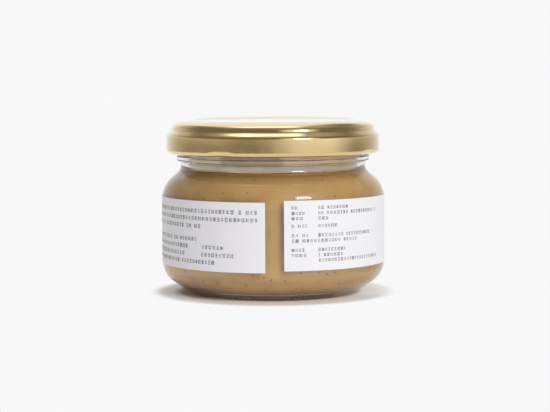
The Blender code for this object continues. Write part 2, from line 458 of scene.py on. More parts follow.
def window(tree, value, low, high, soft):
    """1 between low and high, falling to 0 within soft outside and inside them."""
    rise = smooth_step(tree, value, low - soft, low + soft)
    fall = smooth_step(tree, value, high - soft, high + soft, 1.0, 0.0)
    return calc(tree, "MULTIPLY", rise, fall)


def object_place(tree):
    """The point on the piece, in metres."""
    return tree.nodes.new("ShaderNodeTexCoord").outputs["Object"]


def split_place(tree, place):
    """The x, y and z of a point or a direction."""
    node = tree.nodes.new("ShaderNodeSeparateXYZ")
    tree.links.new(place, node.inputs["Vector"])
    return node.outputs


def noise(tree, place, scale, detail=3.0, stretch=(1.0, 1.0, 1.0)):
    """Noise whose grains are about 1 / scale metres apart."""
    mapping = tree.nodes.new("ShaderNodeMapping")
    mapping.inputs["Scale"].default_value = stretch
    tree.links.new(place, mapping.inputs["Vector"])
    node = tree.nodes.new("ShaderNodeTexNoise")
    feed(tree, node, {"Vector": mapping.outputs["Vector"], "Scale": scale, "Detail": detail})
    return node.outputs["Fac"]


def mix_colour(tree, share, first, second):
    """Mix two colours, each a tuple or another node's output."""
    node = tree.nodes.new("ShaderNodeMix")
    node.data_type = "RGBA"
    colours = [number for number, socket in enumerate(node.inputs) if socket.type == "RGBA"]
    feed(tree, node, {"Factor": share, colours[0]: first, colours[1]: second})
    return next(socket for socket in node.outputs if socket.type == "RGBA")


def add_bump(tree, shader, height, strength, distance):
    """Drive the shader's normal from a height."""
    node = tree.nodes.new("ShaderNodeBump")
    feed(tree, node, {"Strength": strength, "Distance": distance, "Height": height})
    feed(tree, shader, {"Normal": node.outputs["Normal"]})


def glass_material():
    """Clear glass with a barely uneven surface."""
    material, tree, shader = new_material("clear_glass")
    clear = {"Base Color": GLASS_COLOUR, "IOR": GLASS_IOR, "Transmission Weight": 1.0}
    place = object_place(tree)
    smudge = noise(tree, place, scale=140.0, detail=4.0)
    rough = smooth_step(tree, smudge, low=0.5, high=0.75, start=0.0, end=0.035)
    feed(tree, shader, {**clear, "Roughness": rough})
    waves = noise(tree, place, scale=90.0, detail=1.0)
    add_bump(tree, shader, waves, strength=0.02, distance=0.3 * MM)
    return material


def spread_material():
    """Ground nut paste: warm light brown, faintly mottled, with fine darker specks, painted shade low
    down and at the top, and painted light under the label.
    """
    material, tree, shader = new_material("nut_spread")
    place = object_place(tree)
    x, _, z = split_place(tree, place)
    mottle = noise(tree, place, scale=160.0, detail=4.0, stretch=(1.0, 1.0, 1.8))
    colour = mix_colour(tree, smooth_step(tree, mottle, low=0.3, high=0.7), *SPREAD_COLOURS)
    # Painted shade: darker in a band, on the left of the foot, and at the top
    most, least = BAND_SHARE + BAND_STREAKS, BAND_SHARE - BAND_STREAKS
    streaks = smooth_step(tree, mottle, low=0.25, high=0.75, start=most, end=least)
    band = calc(tree, "MULTIPLY", window(tree, z, BAND_LOW, BAND_HIGH, BAND_SOFT), streaks)
    left = smooth_step(tree, x, *PATCH_SIDES, PATCH_SHARE, 0.0)
    low = smooth_step(tree, z, *PATCH_HEIGHTS, 1.0, 0.0)
    painted_shade = calc(tree, "MAXIMUM", band, calc(tree, "MULTIPLY", left, low))
    high = smooth_step(tree, z, SPREAD_LEVEL - TOP_DEPTH, SPREAD_LEVEL, 0.0, TOP_SHARE)
    painted_shade = calc(tree, "MAXIMUM", painted_shade, high)
    colour = mix_colour(tree, painted_shade, colour, PAINTED_SHADE_COLOUR)
    # Painted light: paler under the label, away from the middle
    tilted = calc(tree, "SUBTRACT", z, calc(tree, "MULTIPLY", x, PALE_TILT))
    pale = window(tree, tilted, PALE_LOW, PALE_HIGH, PALE_SOFT)
    off_middle = calc(tree, "ABSOLUTE", calc(tree, "SUBTRACT", x, PALE_MIDDLE))
    sideways = smooth_step(tree, off_middle, *PALE_SIDES, *PALE_SHARES)
    colour = mix_colour(tree, calc(tree, "MULTIPLY", pale, sideways), colour, PAINTED_LIGHT_COLOUR)
    # Specks of skin, more of them low down
    cells = tree.nodes.new("ShaderNodeTexVoronoi")
    feed(tree, cells, {"Vector": place, "Scale": SPECK_SCALE})
    chosen = tree.nodes.new("ShaderNodeSeparateColor")
    tree.links.new(cells.outputs["Color"], chosen.inputs["Color"])
    near = smooth_step(tree, cells.outputs["Distance"], *SPECK_SIZE, 1.0, 0.0)
    more = smooth_step(tree, z, *SPECK_HEIGHTS, SPECK_MORE, 0.0)
    picked = smooth_step(tree, calc(tree, "ADD", chosen.outputs["Red"], more), *SPECK_PICKED)
    speck = calc(tree, "MULTIPLY", calc(tree, "MULTIPLY", near, picked), SPECK_SHARE)
    colour = mix_colour(tree, speck, colour, SPECK_COLOUR)
    # Rough with a fine grain, and oilier on top
    grain = noise(tree, place, scale=900.0, detail=5.0)
    rough = smooth_step(tree, grain, low=0.3, high=0.7, start=0.33, end=0.5)
    oily = smooth_step(tree, z, SPREAD_LEVEL - OILY_DEPTHS[0], SPREAD_LEVEL - OILY_DEPTHS[1])
    rough = calc(tree, "SUBTRACT", rough, calc(tree, "MULTIPLY", oily, OILY_SMOOTHER))
    feed(tree, shader, {"Base Color": colour, "Roughness": rough})
    add_bump(tree, shader, grain, strength=0.08, distance=0.1 * MM)
    return material


def film_material():
    """A see-through film of spread: pale near the level, brown or tan above, with painted light in
    its pale and tan colours and painted shade in its dark lines.
    """
    material, tree, shader = new_material("spread_film")
    place = object_place(tree)
    x, _, z = split_place(tree, place)
    patch = noise(tree, place, scale=110.0, detail=3.0, stretch=(1.0, 1.0, 2.0))
    # Painted light: the film is lighter on the left
    left = smooth_step(tree, x, *FILM_LEFT_SIDES, FILM_LEFT_SHARE, 0.0)
    pale = mix_colour(tree, left, mix_colour(tree, patch, *FILM_PALE), FILM_PALE_LEFT)
    tan = mix_colour(tree, left, mix_colour(tree, patch, *TAN_COLOURS), TAN_LEFT)
    # The browner stretch at the front ends unevenly to the left and the right
    wander = calc(tree, "MULTIPLY", calc(tree, "SUBTRACT", patch, 0.5), BROWN_WANDER)
    middle = window(tree, calc(tree, "ADD", x, wander), BROWN_LEFT, BROWN_RIGHT, BROWN_SOFT)
    brown = mix_colour(tree, middle, tan, mix_colour(tree, patch, *BROWN_COLOURS))
    upper = smooth_step(tree, z, FILM_CHANGE - FILM_CHANGE_SOFT, FILM_CHANGE + FILM_CHANGE_SOFT)
    colour = mix_colour(tree, upper, pale, brown)
    # Painted shade in thin dark lines, with a paler stretch of painted light between them
    between = window(tree, z, SHADE_LINES[0][0], SHADE_LINES[1][0], BETWEEN_SOFT)
    between = calc(tree, "MULTIPLY", between, BETWEEN_SHARE)
    colour = mix_colour(tree, between, colour, BETWEEN_COLOUR)
    lines = 0.0
    for level, half in SHADE_LINES:
        line = window(tree, z, level - half, level + half, SHADE_LINE_SOFT)
        lines = calc(tree, "ADD", line, lines)
    faint = smooth_step(tree, patch, low=0.25, high=0.65, start=0.6, end=1.0)
    lines = calc(tree, "MULTIPLY", lines, faint)
    colour = mix_colour(tree, lines, colour, SHADE_LINE_COLOUR)
    most, least = FILM_OPACITY + FILM_OPACITY_VARIES, FILM_OPACITY - FILM_OPACITY_VARIES
    dense = smooth_step(tree, patch, low=0.3, high=0.7, start=most, end=least)
    denser = smooth_step(tree, middle, 0.0, 1.0, TAN_DENSER, BROWN_DENSER)
    dense = calc(tree, "ADD", dense, calc(tree, "MULTIPLY", upper, denser))
    dense = calc(tree, "MAXIMUM", dense, lines)
    feed(tree, shader, {"Base Color": colour, "Roughness": 0.5, "Alpha": dense})
    return material


def lid_material():
    """Sheet steel under a clear gold lacquer, with a faint orange peel and handling marks."""
    material, tree, shader = new_material("gold_lacquer")
    place = object_place(tree)
    cloud = noise(tree, place, scale=60.0, detail=3.0)
    gold = mix_colour(tree, cloud, *GOLD_COLOURS)
    height = split_place(tree, place)["Z"]
    top = smooth_step(tree, height, LID_TOP - PANEL_DEPTHS[0], LID_TOP - PANEL_DEPTHS[1])
    gold = mix_colour(tree, top, gold, PANEL_COLOUR)
    marks = noise(tree, place, scale=420.0, detail=6.0, stretch=(1.0, 1.0, 3.0))
    rough = smooth_step(tree, marks, low=0.35, high=0.75, start=0.09, end=0.17)
    feed(tree, shader, {"Base Color": gold, "Metallic": 1.0, "Roughness": rough})
    feed(tree, shader, {"Coat Weight": 1.0, "Coat Roughness": 0.05})
    peel = noise(tree, place, scale=700.0, detail=2.0)
    add_bump(tree, shader, peel, strength=0.06, distance=0.1 * MM)
    return material


def plain_material(name, scale, detail, colours, roughness):
    """A clouded colour with one roughness."""
    material, tree, shader = new_material(name)
    cloud = noise(tree, object_place(tree), scale, detail)
    feed(tree, shader, {"Base Color": mix_colour(tree, cloud, *colours), "Roughness": roughness})
    return material


def liner_material():
    """The pale lacquer inside the lid."""
    return plain_material("lid_liner", 120.0, 3.0, LINER_COLOURS, 0.35)


def ink_material():
    """Dark grey ink, a little worn."""
    return plain_material("label_ink", 1800.0, 4.0, INK_COLOURS, 0.5)


def paper_material():
    """White coated paper with a fine fibre."""
    material, tree, shader = new_material("label_paper")
    place = object_place(tree)
    fibre = noise(tree, place, scale=2600.0, detail=5.0, stretch=(1.0, 1.0, 0.6))
    cloud = noise(tree, place, scale=130.0, detail=3.0)
    plain = mix_colour(tree, cloud, *PAPER_COLOURS)
    dimmed = smooth_step(tree, fibre, low=0.25, high=0.75)
    colour = mix_colour(tree, calc(tree, "MULTIPLY", dimmed, 0.10), plain, FIBRE_COLOUR)
    rough = smooth_step(tree, fibre, low=0.3, high=0.7, start=0.42, end=0.55)
    feed(tree, shader, {"Base Color": colour, "Roughness": rough})
    add_bump(tree, shader, fibre, strength=0.12, distance=0.03 * MM)
    return material


# The glass


def heel_profile():
    """The jar's foot: a small round, a chamfer with rings for its marks, a large round."""
    slope = -90.0 + HEEL_SLOPE
    points = arc((STANDING_RADIUS, FOOT_ROUND), FOOT_ROUND, -90.0, slope, 6.0)
    large = arc((BODY_RADIUS - HEEL_RADIUS, 0.0), HEEL_RADIUS, slope, 0.0)
    incline = math.tan(math.radians(HEEL_SLOPE))
    start, floor_height = points[-1]
    lift = floor_height + (large[0][0] - start) * incline - large[0][1]
    radii = [start + step * KNURL_SPACING for step in range(1, KNURL_RINGS + 1)]
    radii += [SEAM_RADIUS + 0.5 * SEAM_WIDTH * step / 4.0 for step in range(-5, 6)]
    points += [(radius, floor_height + (radius - start) * incline) for radius in radii]
    return points + [(radius, height + lift) for radius, height in large]


def shoulder_profile():
    """From the body over the shoulder to the waist of the neck."""
    centre = (BODY_RADIUS - SHOULDER_RADIUS, SHOULDER_START)
    points = arc(centre, SHOULDER_RADIUS, 0.0, SHOULDER_SLOPE)
    start = move(points[-1], SHOULDER_STRAIGHT, 90.0 + SHOULDER_SLOPE)
    fillet = move(start, NECK_FILLET, SHOULDER_SLOPE)
    return points + arc(fillet, NECK_FILLET, 180.0 + SHOULDER_SLOPE, 180.0)


def finish_profile(neck_radius):
    """The waist, the bead under the lid and the ring of glass that the lid covers."""
    hollow = (neck_radius + BEAD_HOLLOW, NECK_TOP)
    points = [(neck_radius, NECK_TOP)]
    points += arc(hollow, BEAD_HOLLOW, 180.0, 180.0 - BEAD_SLOPE, 8.0)[1:]
    points += arc((BEAD_RADIUS - BEAD_CORNER, BEAD_BOTTOM), BEAD_CORNER, -BEAD_SLOPE, 0.0, 8.0)
    for step in range(-4, 5):
        depth = GROOVE_DEPTH * (0.5 + 0.5 * math.cos(math.pi * step / 4.0))
        points.append((BEAD_RADIUS - depth, GROOVE_HEIGHT + 0.5 * GROOVE_WIDTH * step / 4.0))
    points += arc((BEAD_RADIUS - BEAD_BULGE, BEAD_TOP - BEAD_BULGE), BEAD_BULGE, 0.0, 60.0, 8.0)
    points.append((FINISH_RADIUS, BEAD_TOP + BEAD_FADE))
    rim_round = (FINISH_RADIUS - MOUTH_RADIUS) / 2.0
    return points + arc((MOUTH_RADIUS + rim_round, RIM_TOP - rim_round), rim_round, 0.0, 180.0, 8.0)


def inside_profile(grow):
    """The hollow of the jar, from the waist of the neck to the floor's centre, grown by grow."""
    waist = MOUTH_RADIUS + grow
    wall = BODY_RADIUS - WALL + grow
    bend = SHOULDER_RADIUS - BEND_LESS + grow
    over = arc((wall - bend, SHOULDER_START), bend, SHOULDER_SLOPE, 0.0)
    slope = math.radians(SHOULDER_SLOPE)
    lip_round = WAIST_ROUND - grow
    straight = (over[0][0] - waist - lip_round * (1.0 - math.cos(slope))) / math.sin(slope)
    lip_height = over[0][1] + straight * math.cos(slope) + lip_round * math.sin(slope)
    lip = arc((waist + lip_round, lip_height), lip_round, 180.0, 180.0 + SHOULDER_SLOPE, 8.0)
    floor = FLOOR - grow
    round_corner = FLOOR_CORNER + grow
    corner = arc((wall - round_corner, floor + round_corner), round_corner, 0.0, -90.0)
    foot = corner[-1][0]
    dome = []
    for share in (0.75, 0.5, 0.25, 0.0):
        dome.append((foot * share, floor + FLOOR_DOME * (1.0 - share * share)))
    return lip + over + corner + dome


def mould_marks(radius, height, angle):
    """A mould seam on the chamfer, and fine knurls on the foot with plain stretches."""
    if height > HEEL_TOP or radius < STANDING_RADIUS - STANDING_WIDTH - RING_MARGIN:
        return radius, height
    above = ease(height, KNURL_BOTTOM, KNURL_BOTTOM + KNURL_FADE_LOW)
    below = 1.0 - ease(height, KNURL_TOP - KNURL_FADE_HIGH, KNURL_TOP)
    on_ring = 1.0 - ease(radius, STANDING_RADIUS - KNURL_FADE_HIGH, STANDING_RADIUS)
    off_middle = abs((angle - MARKS_MIDDLE + 90.0) % 180.0 - 90.0)
    present = 1.0 - ease(off_middle, MARKS_FULL, MARKS_FADED)
    knurled = present * ease(abs(angle - PLAIN_MIDDLE) % 90.0, PLAIN_WIDTH, PLAIN_END)
    wave = math.sin(math.radians(angle) * KNURLS) * math.cos(radius / KNURL_PITCH)
    depth = KNURL_DEPTH * max(above * below, on_ring) * knurled * (0.5 - 0.5 * wave)
    across = min(1.0, abs(radius - SEAM_RADIUS) / (0.5 * SEAM_WIDTH))
    ridge = SEAM_HEIGHT * present * (0.5 + 0.5 * math.cos(math.pi * across))
    return move((radius, height), ridge - depth, HEEL_SLOPE - 90.0)


def base_profile():
    """The push-up under the jar and the flat ring that it stands on, out to the foot."""
    ring_inner = STANDING_RADIUS - STANDING_WIDTH
    hollow = ring_inner - RING_SLOPE
    points = []
    for share in (0.0, 0.25, 0.5, 0.75):
        points.append((hollow * share, PUSH_UP - (PUSH_UP - PUSH_UP_EDGE) * share * share))
    bend = (hollow - RING_MARGIN, PUSH_UP_EDGE - PUSH_UP_BEND)
    points += arc(bend, PUSH_UP_BEND, 75.0, 40.0, 8.0)
    points += arc((ring_inner, RING_ROUND), RING_ROUND, 220.0, 270.0, 10.0)
    return points + [(ring_inner + STANDING_WIDTH * share, 0.0) for share in (0.2, 0.4, 0.6, 0.8)]


def build_glass(material):
    """One turned wall, with a seam and knurls from its mould on the foot."""
    shoulder = shoulder_profile()
    outside = base_profile() + heel_profile() + shoulder + finish_profile(shoulder[-1][0])
    profile = refine(outside + inside_profile(0.0), long=4.0 * MM)
    glass = turn("jar_glass", profile, GLASS_SEGMENTS, [material], mould_marks)
    glass.visible_shadow = False
    glass.visible_diffuse = False
    return glass


# The spread


def build_spread(material):
    """The spread fills the jar, reaches into the wall, and clings to the neck above its level."""
    outside = refine(list(reversed(inside_profile(SPREAD_INTO_WALL))))
    edge = MOUTH_RADIUS + SPREAD_INTO_WALL
    middle = edge - SPREAD_EDGE
    rim = [(edge, SPREAD_LEVEL - 0.2 * MM), (edge, SPREAD_LEVEL), (middle, SPREAD_LEVEL - 0.05 * MM)]
    surface = []
    for step in range(1, SPREAD_RINGS + 1):
        surface.append((middle * (1.0 - step / SPREAD_RINGS), SPREAD_LEVEL - 0.1 * MM))

    def unevenness(radius, height, angle):
        """A wavy edge where the spread meets the glass, and slow waves on top."""
        if height < SPREAD_LEVEL - 0.15 * MM:
            return radius, height
        turned = math.radians(angle)
        if radius > edge - 0.1 * MM:
            creep = 1.0 + 0.6 * math.sin(7.0 * turned) + 0.4 * math.sin(17.0 * turned)
            return radius, height + SPREAD_CREEP * creep
        inward = min(1.0, radius / edge)
        swirl = math.sin(2.0 * turned + 9.0 * inward) + 0.6 * math.sin(5.0 * turned - 14.0 * inward)
        fade = ease(inward, 0.02, 0.3) * (1.0 - ease(inward, 0.85, 1.0))
        return radius, height + SPREAD_WAVES * swirl * fade

    return turn("nut_spread", outside + rim + surface, SPREAD_SEGMENTS, [material], unevenness)


def build_film(material):
    """A thin film of spread, left on the inside of the neck above the level, made pale with painted
    light.
    """
    outer = MOUTH_RADIUS - FILM_GAP
    inner = outer - FILM_THICKNESS
    profile = [(inner, FILM_START), (outer, FILM_START), (outer, FILM_TOP), (inner, FILM_TOP)]
    profile.append(profile[0])

    def ragged(radius, height, angle):
        """An uneven upper edge."""
        if height < FILM_TOP:
            return radius, height
        turned = math.radians(angle)
        wave = 0.12 * math.sin(11.0 * turned) + 0.08 * math.sin(29.0 * turned + 1.0)
        return radius, height + wave * MM

    film = turn("spread_smear", profile, FILM_SEGMENTS, [material], ragged)
    film.data.set_sharp_from_angle(angle=SHARP_ANGLE)
    film.visible_shadow = False
    film.visible_diffuse = False
    return film


# The lid


def lid_rim(sheet):
    """Outside of the roll and the crown, or the inside when a sheet's thickness is given."""
    crown_centre = (CROWN_CREST, LID_TOP - CROWN_ARC)
    crown = arc(crown_centre, CROWN_ARC - sheet, CROWN_SLOPE, 90.0, 3.0)
    roll_centre = move(crown_centre, CROWN_ARC - ROLL_ARC, CROWN_SLOPE)
    roll = arc(roll_centre, ROLL_ARC - sheet, STEP_SLOPE, CROWN_SLOPE, 5.0)
    return roll + crown[1:]


def lid_panel():
    """The lip inside the crown and the sunk panel, out to in."""
    lip_centre = (CROWN_CREST, LID_TOP - LIP_ARC)
    lip = arc(lip_centre, LIP_ARC, 90.0, LIP_SLOPE, 6.0)[1:]
    dip_centre = move(lip_centre, LIP_ARC + PANEL_FILLET, LIP_SLOPE)
    dip = arc(dip_centre, PANEL_FILLET, LIP_SLOPE - 180.0, -90.0, 8.0)[1:]
    edge, panel = dip[-1]
    steps = range(1, PANEL_RINGS + 1)
    return lip + dip + [(edge * (1.0 - step / PANEL_RINGS), panel) for step in steps]


def lid_outside():
    """The visible side of the lid, from the lowest point of its rolled edge to its middle."""
    curl = arc((LID_RADIUS - CURL_ROUND, LID_BOTTOM + CURL_ROUND), CURL_ROUND, -90.0, 0.0, 6.0)
    brow_centre = (LID_RADIUS - BARREL_DEPTH - BROW_ARC, SKIRT_TOP)
    brow = arc(brow_centre, BROW_ARC, BARREL_SLOPE, LEDGE_SLOPE, 4.0)
    rise = brow[0][1] - BARREL_START
    middle = [(LID_RADIUS, LID_BOTTOM + 1.6 * MM)]
    for step in range(BARREL_RINGS):
        share = step / BARREL_RINGS
        middle.append((LID_RADIUS - BARREL_DEPTH * share * share, BARREL_START + rise * share))
    rim = lid_rim(0.0)
    # The wall under the roll is as long as brings the fillet's end onto the ledge's line
    ledge_normal = Vector(move((0.0, 0.0), 1.0, LEDGE_SLOPE))
    wall_down = Vector(move((0.0, 0.0), 1.0, STEP_SLOPE - 90.0))
    fillet_end = Vector(move(move(rim[0], STEP_FILLET, STEP_SLOPE), -STEP_FILLET, LEDGE_SLOPE))
    wall = (Vector(brow[-1]) - fillet_end).dot(ledge_normal) / wall_down.dot(ledge_normal)
    fillet_centre = move(move(rim[0], wall, STEP_SLOPE - 90.0), STEP_FILLET, STEP_SLOPE)
    fillet = arc(fillet_centre, STEP_FILLET, 180.0 + LEDGE_SLOPE, 180.0 + STEP_SLOPE, 6.0)
    return curl + middle + brow + fillet + rim + lid_panel()


def lid_underside():
    """The inside of the lid, from its middle out and down to the inner side of its curl."""
    edge, panel = lid_panel()[-1 - PANEL_RINGS]
    inner_skirt = LID_RADIUS - LID_SHEET
    curl_inner = LID_RADIUS - CURL_WIDTH
    curl_top = LID_BOTTOM + CURL_HEIGHT
    points = [(0.0, panel - LID_SHEET), (edge + LID_SHEET, panel - LID_SHEET)]
    points += reversed(lid_rim(LID_SHEET))
    points += [
        (LID_RADIUS - UNDER_STEP[0], SKIRT_TOP + UNDER_STEP[1]),
        (inner_skirt - UNDER_LEDGE[0], SKIRT_TOP + UNDER_LEDGE[1]),
        (inner_skirt, SKIRT_TOP),
        (inner_skirt, curl_top + CURL_TUCK),
        (LID_RADIUS - CURL_CREST, curl_top),
    ]
    upper = (curl_inner + CURL_UPPER_ROUND, curl_top - CURL_UPPER_ROUND)
    lower = (curl_inner + CURL_LOWER_ROUND, LID_BOTTOM + CURL_LOWER_ROUND)
    points += arc(upper, CURL_UPPER_ROUND, 90.0, 180.0, 10.0)
    return refine(points + arc(lower, CURL_LOWER_ROUND, 180.0, 255.0, 10.0))


def lug_dent(radius, height, angle):
    """Each lug draws the rolled edge inwards and up a little, and the lid dips to the front."""
    spacing = 360.0 / LUG_COUNT
    away = abs((angle - LUG_ANGLE + 0.5 * spacing) % spacing - 0.5 * spacing)
    low = 1.0 - ease(height, LID_BOTTOM + LUG_HEIGHTS[0], LID_BOTTOM + LUG_HEIGHTS[1])
    dent = (1.0 - ease(away, LUG_FULL, LUG_FADED)) * low
    outer = ease(radius, LID_RADIUS - LUG_DEPTHS[0], LID_RADIUS - LUG_DEPTHS[1])
    inward = dent * (LUG_DENT_OUTSIDE * outer + LUG_DENT_INSIDE * (1.0 - outer))
    dip = LID_DIP * math.cos(math.radians(angle)) * radius / LID_RADIUS
    return radius - inward, height + LUG_LIFT * dent * outer - dip


def build_lid(lacquer, liner):
    """The pressed cap, lacquered gold outside and pale inside."""
    underside = lid_underside()
    profile = underside + refine(lid_outside())
    lid = turn("gold_lid", profile, LID_SEGMENTS, [lacquer, liner], lug_dent)
    above_curl = LID_BOTTOM + CURL_HEIGHT + 0.5 * CURL_TUCK
    inner_rings = sum(height > above_curl for _, height in underside)
    for polygon in lid.data.polygons[: inner_rings * LID_SEGMENTS]:
        polygon.material_index = 1
    return lid


# The label


def label_place(angle, height, radius):
    """A point on the label, whose strip sinks a little from one end to the other."""
    share = ((angle - LABEL_START) % 360.0) / (LABEL_END - LABEL_START)
    turned = math.radians(angle - 90.0)
    lift = LABEL_CLIMB * (0.5 - share)
    return (radius * math.cos(turned), radius * math.sin(turned), height + lift)


def add_shell(verts, faces, columns, rows, place):
    """A closed curved slab: place(column share, row share, side) gives a point."""
    first = len(verts)
    for side in (0, 1):
        for column in range(columns + 1):
            for row in range(rows + 1):
                verts.append(place(column / columns, row / rows, side))

    def add_face(flip, *corners):
        """A face from its corners' sides, columns and rows."""
        face = []
        for side, column, row in corners:
            face.append(first + (side * (columns + 1) + column) * (rows + 1) + row)
        faces.append(tuple(reversed(face) if flip else face))

    for column in range(columns):
        after = column + 1
        for row in range(rows):
            for side in (0, 1):
                low = ((side, column, row), (side, after, row))
                high = ((side, after, row + 1), (side, column, row + 1))
                add_face(not side, *low, *high)
    for column in range(columns):
        after = column + 1
        for row, flip in ((0, False), (rows, True)):
            add_face(flip, (0, column, row), (0, after, row), (1, after, row), (1, column, row))
    for row in range(rows):
        above = row + 1
        for column, flip in ((0, False), (columns, True)):
            add_face(flip, (0, column, row), (0, column, above), (1, column, above), (1, column, row))


def build_label(material):
    """A strip of paper round the body."""
    verts = []
    faces = []

    def place(along, up, side):
        """Outside and inside of the paper."""
        radius = LABEL_OUTER - LABEL_THICKNESS * (1 - side)
        height = LABEL_BOTTOM + (LABEL_TOP - LABEL_BOTTOM) * up
        return label_place(LABEL_START + (LABEL_END - LABEL_START) * along, height, radius)

    add_shell(verts, faces, LABEL_COLUMNS, LABEL_ROWS, place)
    label = add_piece("paper_label", verts, faces, [material])
    label.data.set_sharp_from_angle(angle=SHARP_ANGLE)
    return label


# Marks of print, in millimetres, and the spaces between them as shares of a mark's size
RIGHT_MARGIN = 2.2
RIGHT_COLUMN = 10.4
RIGHT_MARK = 1.05
LEFT_MARGIN = 2.3
LEFT_MARK = 1.25
SLIT = 0.16
ROW_END = 0.4
MARK_SPACE = 0.34
WORD_SPACE = 0.8
# A draw under these makes a mark plain, of two bars or of three, or ends a word
PLAIN_MARKS = 0.12
TWO_BARS = 0.34
THREE_BARS = 0.62
WORD_SPACES = 0.1
# Rows: distance under the label's top, start and length along it
RIGHT_ROWS = (
    (2.1, RIGHT_MARGIN, 2.4), (2.1, RIGHT_COLUMN, 10.6),
    (3.7, RIGHT_MARGIN, 4.0), (3.7, RIGHT_COLUMN, 25.0),
    (5.25, RIGHT_MARGIN, 4.0), (5.25, RIGHT_COLUMN, 3.4),
    (7.45, RIGHT_MARGIN, 5.4), (7.45, RIGHT_COLUMN, 6.0),
    (10.2, RIGHT_MARGIN, 5.4), (10.2, RIGHT_COLUMN, 21.0),
    (11.8, RIGHT_MARGIN, 22.5),
    (14.5, RIGHT_MARGIN, 4.0), (14.5, RIGHT_COLUMN, 9.4),
    (16.05, RIGHT_MARGIN, 4.0), (16.05, RIGHT_COLUMN, 9.0),
    (17.6, RIGHT_COLUMN, 25.0),
)
LEFT_ROWS = (
    (2.95, LEFT_MARGIN, 50.0),
    (5.2, LEFT_MARGIN, 50.0),
    (7.45, 21.0, 31.3),
    (11.4, 22.5, 29.8),
    (13.6, 13.0, 8.4), (13.6, 26.5, 25.8),
    (15.85, 9.6, 11.8), (15.85, 28.0, 24.3),
    (18.05, 16.0, 36.3),
)
# The far side: a heading of three wide bars, each with its height
BACK_BARS = ((6.5, 86.0, 40.0, 3.0), (11.2, 92.0, 28.0, 1.6), (14.4, 97.0, 18.0, 1.6))


def build_print(material):
    """Generic blocks in rows that stand for small print, raised by an ink's thickness."""
    draw = random.Random(SEED)
    verts = []
    faces = []
    top = LABEL_TOP - LABEL_BOTTOM
    per_mm = math.degrees(MM / LABEL_OUTER)

    def add_block(angle, wide, low, high):
        """One slab of ink: wide in degrees, low and high above the label's lower edge."""

        def place(along, up, side):
            """Outside and inside of the ink."""
            radius = LABEL_OUTER + (INK_THICKNESS if side else -INK_SUNK)
            return label_place(angle + wide * along, LABEL_BOTTOM + low + (high - low) * up, radius)

        add_shell(verts, faces, max(1, round(wide / BLOCK_COLUMN)), 1, place)

    def add_mark(angle, wide, low, high):
        """One mark of a row: a block cut by slits across or along it."""
        slit = SLIT * MM
        kind = draw.random()
        if kind < PLAIN_MARKS:
            add_block(angle, wide * per_mm, low, high)
        elif kind < THREE_BARS:
            bars = 2 if kind < TWO_BARS else 3
            tall = (high - low + slit) / bars
            for bar in range(bars):
                start = low + tall * bar
                inset = draw.uniform(0.0, 0.3) * wide
                begin = angle + inset * per_mm / 2.0
                add_block(begin, (wide - inset) * per_mm, start, start + tall - slit)
        else:
            share = draw.uniform(0.3, 0.7)
            first = share * (wide - SLIT)
            add_block(angle, first * per_mm, low, high)
            second = wide - SLIT - first
            split = low + (high - low) * draw.uniform(0.35, 0.65)
            angle += (first + SLIT) * per_mm
            add_block(angle, second * per_mm, low, split - slit / 2.0)
            add_block(angle, second * per_mm, split + slit / 2.0, high)

    def add_row(under, start, length, mark, direction):
        """Marks of uneven width and height along a row; direction is 1 from the right-hand end."""
        travelled = start
        while travelled < start + length - ROW_END:
            wide = draw.uniform(0.55, 0.9) * mark
            tall = draw.uniform(0.75, 1.0) * mark
            middle = top - under * MM
            angle = LABEL_START + travelled * per_mm
            if direction < 0:
                angle = LABEL_END - (travelled + wide) * per_mm
            add_mark(angle, wide, middle - tall * MM / 2.0, middle + tall * MM / 2.0)
            travelled += wide + MARK_SPACE * mark
            if draw.random() < WORD_SPACES:
                travelled += WORD_SPACE * mark

    for under, start, length in RIGHT_ROWS:
        add_row(under, start, length, RIGHT_MARK, 1)
    for under, start, length in LEFT_ROWS:
        add_row(under, start, length, LEFT_MARK, -1)
    for under, start, length, tall in BACK_BARS:
        low = top - (under + tall) * MM
        add_block(LABEL_START + start * per_mm, length * per_mm, low, low + tall * MM)
    piece = add_piece("label_print", verts, faces, [material])
    piece.data.set_sharp_from_angle(angle=SHARP_ANGLE)
    return piece


# The studio


def build_camera():
    """The photograph's camera: a little higher than the lid and looking slightly down."""
    lens = bpy.data.cameras.new("camera")
    lens.sensor_width = SENSOR_WIDTH
    lens.lens = FOCAL_PIXELS / IMAGE_WIDTH * SENSOR_WIDTH
    lens.clip_start = 0.01
    camera = bpy.data.objects.new("camera", lens)
    bpy.context.scene.collection.objects.link(camera)
    level = math.cos(CAMERA_PITCH)
    across, along = math.sin(CAMERA_YAW) * level, math.cos(CAMERA_YAW) * level
    forward = Vector((across, along, -math.sin(CAMERA_PITCH)))
    level_right = Vector((math.cos(CAMERA_YAW), -math.sin(CAMERA_YAW), 0.0))
    level_up = level_right.cross(forward)
    cosine = math.cos(CAMERA_ROLL)
    sine = math.sin(CAMERA_ROLL)
    right = cosine * level_right - sine * level_up
    up = cosine * level_up + sine * level_right
    turned = Matrix((right, up, -forward)).transposed().to_4x4()
    camera.matrix_world = Matrix.Translation((0.0, -CAMERA_DISTANCE, CAMERA_HEIGHT)) @ turned
    bpy.context.scene.camera = camera


